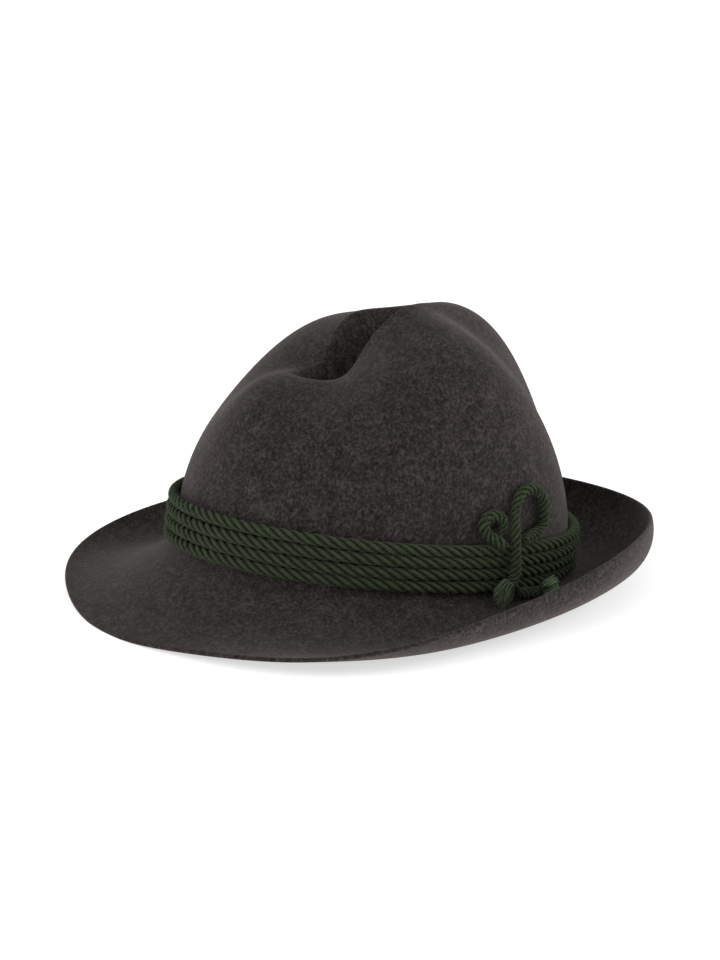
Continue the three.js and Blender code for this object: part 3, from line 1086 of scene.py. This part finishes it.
@dataclass
class CordBand:
    """Turns of cord that lie on each other round the foot of the crown.

    The wander is a sum of sines. Its rows are the number of waves round the crown, how far the
    wave moves on with each turn, and its share.
    """

    form: HatForm
    cord: TwistedCord
    turns: int = 4
    lift: float = 1.7
    solid_diameter: float = 5.7
    gap: float = 0.3
    wander_mm: float = 0.22
    wander: Table = ((3.0, 2.1, 0.6), (7.0, 4.7, 0.4))

    def build(self) -> None:
        """Makes each turn as a closed ring at its own height."""
        finishes = CordWool().material("cord_wool"), FrayWool().material("cord_fuzz_wool")
        half = self.solid_diameter / 2
        count = int(np.pi * self.form.crown_length / self.cord.step)
        angle = np.linspace(0.0, 2 * np.pi, count, endpoint=False)
        for turn in range(self.turns):
            wander = sum(
                np.sin(angle * waves + turn * move) * share for waves, move, share in self.wander
            )
            height = self.lift + half + turn * (self.solid_diameter + self.gap)
            out = np.full(count, self.gap + half)
            path, normals = self.form.wall_offset(angle, height + self.wander_mm * wander, out)
            path, normals = self.form.at_rest(path), self.form.turned(normals)
            track = Track(path, normals, np.ones(count), closed=True)
            self.cord.build(f"turn_{turn + 1}", f"cord_turn_{turn + 1}", track, turn, finishes)


class Strand(Enum):
    """Strands of the knot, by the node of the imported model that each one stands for."""

    LARGE_LOOP = "knot_large_loop"
    SMALL_LOOP = "knot_small_loop"
    TAIL = "knot_tail"


@dataclass(frozen=True)
class FrayedEnd:
    """Loose fibres where the cord's end is opened, fanned out beside the wall.

    Lengths and radii are in millimetres. The width and depth are how many times wider the brush
    gets beside the wall and away from it, and the droop is how far it sags.
    """

    node: str
    length: float
    width: float
    depth: float
    droop: float
    finish: FrayWool = FrayWool()
    fibres: int = 420
    seed: int = 3
    cord_radius: float = 2.85
    fibre_radius: float = 0.27
    taper: float = 0.5
    rows: int = 8
    sides: int = 4
    overlap: float = 0.8
    shortest: float = 0.6
    ragged: float = 0.5
    rounding: float = 0.15
    opening: float = 0.35
    waver: float = 0.25
    waver_speeds: Range = (3.0, 7.0)

    def surface(self, base: Array, heading: Array, outward: Array) -> Surface:
        """Brush of fibres.

        Each fibre starts in the cord's own circle and runs along the heading. Its distance from
        the axis grows as 1 + (times wider - 1) * share ^ opening. It sags by the droop times
        share ^ 2, and wavers by two sines.

        Args:
            base: Middle of the place where the cord stops.
            heading: Unit direction of the brush.
            outward: Unit direction away from the wall.

        Returns:
            The fibres with the numbers "tip" and "shade".
        """
        rng = np.random.default_rng(self.seed)
        each = (self.fibres, 1, 1)
        beside = unit(np.cross(outward, heading))
        away = np.cross(beside, heading)
        share = np.sqrt(rng.random(each))
        turn = rng.random(each) * 2 * np.pi
        reach = self.length * (self.shortest + self.ragged * rng.random(each))
        reach = reach * (1 - self.rounding * share**2)
        along = np.linspace(0.0, 1.0, self.rows)[:, None]
        opened = along**self.opening
        wide = self.cord_radius * share * np.cos(turn) * (1 + (self.width - 1) * opened)
        deep = self.cord_radius * share * np.sin(turn) * (1 + (self.depth - 1) * opened)
        waver = rng.normal(size=(2, self.fibres, 1, 3))
        phase = rng.random((2, self.fibres, 1, 1)) * 2 * np.pi
        speed = np.array(self.waver_speeds)[:, None, None, None]
        bends = np.sum(waver * (np.sin(along * speed + phase) - np.sin(phase)), axis=0)
        sag = np.array([0.0, 0.0, self.droop]) * along**2
        centres = base + heading * (reach * along - self.overlap) + beside * wide + away * deep
        lines = centres + bends * self.waver * along - sag
        radii = self.fibre_radius * (1 - self.taper * along[:, 0])
        return hair_tubes(lines, away, radii, self.sides, rng.random(self.fibres))

    def build(self, track: Track, gap: float) -> None:
        """Makes the brush where a track ends, past a gap, and dresses it."""
        heading = unit(track.points[-1] - track.points[-3])
        brush = self.surface(track.points[-1] + gap * heading, heading, track.facing[-1])
        fray = self.finish.material(f"{self.node}_wool")
        dressed(f"loose_{self.node}", brush, fray, "cord", self.node)


@dataclass
class Knot:
    """Knot on the wearer's left: two loops, a tail and two frayed ends.

    A place near the knot is given as along, round the crown from the knot towards the back, up
    from the crown's foot, and out from the felt, in millimetres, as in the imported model. The
    fourth number is the share of the cord's diameter that is left where the strand is pulled.
    """

    form: HatForm
    cord: TwistedCord
    angle: float = 97.0
    gap: float = 0.3
    hair_seed: int = 11
    steps_between: int = 40
    large_loop: Table = (
        (6.8, 27.5, 7.0, 1.00),
        (10.8, 28.3, 5.8, 1.00),
        (17.1, 29.4, 3.9, 1.03),
        (22.2, 30.8, 3.2, 1.05),
        (24.6, 33.8, 3.2, 1.05),
        (24.5, 38.2, 3.2, 1.02),
        (23.5, 43.0, 3.2, 1.00),
        (21.1, 47.4, 3.2, 1.02),
        (16.8, 50.7, 3.2, 1.06),
        (12.2, 51.8, 3.2, 1.08),
        (7.9, 50.8, 3.2, 1.04),
        (5.0, 48.2, 3.2, 0.98),
        (3.6, 44.3, 3.3, 0.92),
        (3.0, 40.2, 3.9, 0.87),
        (1.9, 36.2, 6.2, 0.85),
        (0.7, 32.5, 8.8, 0.86),
        (1.0, 28.6, 9.3, 0.90),
        (2.6, 21.6, 9.3, 0.94),
        (4.0, 15.1, 9.3, 0.96),
        (4.2, 11.6, 9.3, 0.98),
        (3.4, 9.0, 9.4, 1.00),
        (1.5, 7.1, 9.9, 1.00),
    )
    small_loop: Table = (
        (-3.0, 31.0, 3.2, 1.00),
        (-3.0, 34.3, 3.2, 1.00),
        (-4.5, 37.8, 3.2, 1.02),
        (-8.2, 39.7, 3.2, 1.04),
        (-12.3, 39.0, 3.2, 1.04),
        (-14.3, 35.8, 3.2, 1.04),
        (-13.5, 32.3, 3.3, 1.04),
        (-11.2, 29.8, 4.0, 1.04),
        (-8.8, 28.5, 5.4, 1.04),
        (-6.6, 27.3, 7.5, 1.02),
        (-5.0, 25.2, 9.4, 1.00),
    )
    tail: Table = (
        (8.6, 2.4, 9.4, 1.00),
        (14.0, 2.2, 9.4, 1.00),
        (19.5, 2.0, 9.4, 1.00),
        (24.0, 2.1, 9.7, 1.00),
        (26.6, 3.0, 10.7, 1.00),
    )
    front_end: FrayedEnd = FrayedEnd(
        "frayed_end_front", length=10.0, width=2.2, depth=1.2, droop=1.0
    )
    back_end: FrayedEnd = FrayedEnd(
        "frayed_end_back",
        length=9.0,
        width=1.8,
        depth=1.5,
        droop=-0.5,
        # Painted light: a brighter copy of the fray wool, so the back end shows lighter than the
        # front end though both are the same wool.
        finish=FrayWool(root=(0.0160, 0.0260, 0.0120, 1.0), tip=(0.2600, 0.3800, 0.1900, 1.0)),
        fibres=240,
        seed=8,
    )

    def places(self, route: Array) -> tuple[Array, Array]:
        """Points and wall directions of a route, at rest."""
        along, up, out = route[:, :3].T
        angle = np.full(len(route), math.radians(self.angle))
        foot = np.zeros(len(route))
        small = 0.01
        here, _ = self.form.wall_offset(angle, foot, out)
        there, _ = self.form.wall_offset(angle + small, foot, out)
        arc = np.linalg.norm(there - here, axis=-1) / small
        points, normals = self.form.wall_offset(angle + along / arc, up, out)
        return self.form.at_rest(points), self.form.turned(normals)

    def track(self, route: Array) -> Track:
        """Smooth way of a strand through its route, in even steps of the cord's step.

        It is the centripetal spline: between two points it is a cubic whose end slopes come
        from the neighbours, each weighted by the square root of the distance to it.

        Args:
            route: Places that the strand passes, one row for each.

        Returns:
            The strand's track.
        """
        points, normals = self.places(route)
        ends = (2 * points[:1] - points[1:2], points, 2 * points[-1:] - points[-2:-1])
        knots = np.concatenate(ends)
        root = np.sqrt(np.linalg.norm(np.diff(knots, axis=0), axis=-1))[:, None]
        before, here, there, after = knots[:-3], knots[1:-2], knots[2:-1], knots[3:]
        first, middle, last = root[:-2], root[1:-1], root[2:]
        leave = (
            (here - before) / first - (there - before) / (first + middle) + (there - here) / middle
        ) * middle
        arrive = (
            (there - here) / middle - (after - here) / (middle + last) + (after - there) / last
        ) * middle
        share = np.linspace(0.0, 1.0, self.steps_between, endpoint=False)[None, :, None]
        fine = (
            here[:, None]
            + leave[:, None] * share
            + (3 * (there - here) - 2 * leave - arrive)[:, None] * share**2
            + (2 * (here - there) + leave + arrive)[:, None] * share**3
        ).reshape(-1, 3)
        fine = np.concatenate([fine, points[-1:]])
        length = running_length(fine)
        even = np.linspace(0.0, length[-1], int(length[-1] / self.cord.step))
        place = np.interp(even, length, np.arange(len(fine)) / self.steps_between)
        known = np.arange(len(points))
        return Track(
            read_at(even, length, fine),
            unit(read_at(place, known, normals)),
            np.interp(place, known, route[:, 3]),
            closed=False,
        )

    def build(self) -> None:
        """Makes the strands and the two frayed ends that carry on from them."""
        finishes = CordWool().material("knot_wool"), FrayWool().material("knot_fuzz_wool")
        routes = {
            Strand.LARGE_LOOP: self.large_loop,
            Strand.SMALL_LOOP: self.small_loop,
            Strand.TAIL: self.tail,
        }
        ends = {Strand.LARGE_LOOP: self.front_end, Strand.TAIL: self.back_end}
        for strand, route in routes.items():
            track = self.track(np.array(route))
            self.cord.build(strand.value, strand.value, track, self.hair_seed, finishes)
            if strand in ends:
                ends[strand].build(track, self.gap)


def direction(azimuth: float, elevation: float) -> Vector:
    """Unit direction at an angle from the hat's front and one above the floor, in degrees."""
    turn, rise = math.radians(azimuth), math.radians(elevation)
    return Vector(
        (math.sin(turn) * math.cos(rise), -math.cos(turn) * math.cos(rise), math.sin(rise))
    )


def aimed(
    name: str, data: bpy.types.ID, target: Vector, back: Vector, distance: float
) -> bpy.types.Object:
    """Puts a camera or a light into the scene, looking at a target.

    Args:
        name: Name of the object.
        data: Camera or light.
        target: Point that it looks at.
        back: Unit direction from the target to it.
        distance: How far from the target it stands.

    Returns:
        The object.
    """
    made = bpy.data.objects.new(name, data)
    made.location = target + back * distance
    made.rotation_euler = (-back).to_track_quat("-Z", "Y").to_euler()
    bpy.context.scene.collection.objects.link(made)
    return made


@dataclass(frozen=True)
class SoftLight:
    """Square light that points at the hat, in degrees and metres.

    The level is the brightness of a white surface that faces the light. The power for it is
    pi^2 * distance^2 * level.
    """

    name: str
    azimuth: float
    elevation: float
    level: float
    distance: float = 1.6
    size: float = 1.1

    def build(self, target: Vector) -> None:
        """Makes the light, which faces a target."""
        data = bpy.data.lights.new(self.name, "AREA")
        data.energy = math.pi**2 * self.distance**2 * self.level
        data.size = self.size
        aimed(self.name, data, target, direction(self.azimuth, self.elevation), self.distance)


@dataclass
class Studio:
    """Pale floor, soft lights and the camera at the photograph's angle, in metres and degrees."""

    form: HatForm
    azimuth: float = 57.0
    elevation: float = 13.9
    distance: float = 1.5
    target_height: float = 0.05
    focal_pixels: float = 2972.0
    target_pixel: Range = (370.8, 456.0)
    image_width: int = 720
    image_height: int = 960
    sensor_mm: float = 36.0
    clip: Range = (0.05, 100.0)
    floor_rings: tuple[float, ...] = (0.02, 0.3, 1.5, 5.0, 14.0)
    floor_corners: int = 96
    floor_colour: Colour = (0.86, 0.86, 0.86, 1.0)
    floor_glow: float = 0.6
    sky_strength: float = 0.53
    lights: tuple[SoftLight, ...] = (
        SoftLight("left_light", azimuth=16.0, elevation=26.0, level=0.27),
        SoftLight("right_light", azimuth=147.0, elevation=18.0, level=0.41),
    )

    def place_camera(self) -> None:
        """Makes the camera. A small shift puts the hat where the photograph frames it."""
        middle, rest = self.form.middle_shift, self.form.rest_height
        lift = self.target_height + rest * METRES_PER_MM
        target = Vector((0.0, middle * METRES_PER_MM, lift))
        longest = max(self.image_width, self.image_height)
        data = bpy.data.cameras.new("camera")
        data.sensor_width = self.sensor_mm
        data.lens = self.focal_pixels * self.sensor_mm / longest
        data.shift_x = (self.image_width / 2 - self.target_pixel[0]) / longest
        data.shift_y = (self.target_pixel[1] - self.image_height / 2) / longest
        data.clip_start, data.clip_end = self.clip
        back = direction(self.azimuth, self.elevation)
        bpy.context.scene.camera = aimed("camera", data, target, back, self.distance)

    def lay_floor(self) -> None:
        """Makes a round pale floor with a matte finish: rings round a middle point."""
        turn = np.linspace(0.0, 2 * np.pi, self.floor_corners, endpoint=False)
        radius = np.array(self.floor_rings)[:, None] / METRES_PER_MM
        flat = np.stack([radius * np.cos(turn), radius * np.sin(turn)], axis=-1).reshape(-1, 2)
        ring = np.arange(len(turn))
        fan = np.stack([np.full(len(turn), len(flat)), ring, np.roll(ring, -1)], axis=-1)
        faces = [grid_faces(len(radius), len(turn), False), fan]
        floor = Surface(np.pad(flat, ((0, 1), (0, 1))), faces).to_object("floor")
        matte = {
            "Roughness": 1.0,
            "Specular IOR Level": 0.0,
            "Emission Color": WHITE,
            "Emission Strength": self.floor_glow,
        }
        sketch = MaterialSketch("pale_floor")
        floor.data.materials.append(sketch.finish(self.floor_colour, matte))

    def build(self) -> None:
        """Makes the camera, the floor, the lights and the even sky."""
        self.place_camera()
        self.lay_floor()
        for light in self.lights:
            light.build(Vector((0.0, 0.0, self.target_height)))
        world = bpy.data.worlds.new("studio")
        bpy.context.scene.world = world
        world.use_nodes = True
        sky = world.node_tree.nodes["Background"]
        sky.inputs["Color"].default_value = WHITE
        sky.inputs["Strength"].default_value = self.sky_strength
        bpy.context.scene.view_settings.view_transform = "Standard"


def main() -> None:
    """Builds the hat piece by piece inside its studio."""
    logging.basicConfig(level=logging.INFO, format="%(name)s: %(message)s")
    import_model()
    form = HatForm()
    band_cord = TwistedCord(diameter=5.8, lay=22.5)
    knot_cord = TwistedCord(diameter=5.4, lay=12.8, step=0.55, hairs_per_mm=12.0)
    Studio(form).build()
    FeltBody(form).build()
    Sweatband(form).build()
    CordBand(form, band_cord).build()
    Knot(form, knot_cord).build()


if __name__ == "__main__":
    main()
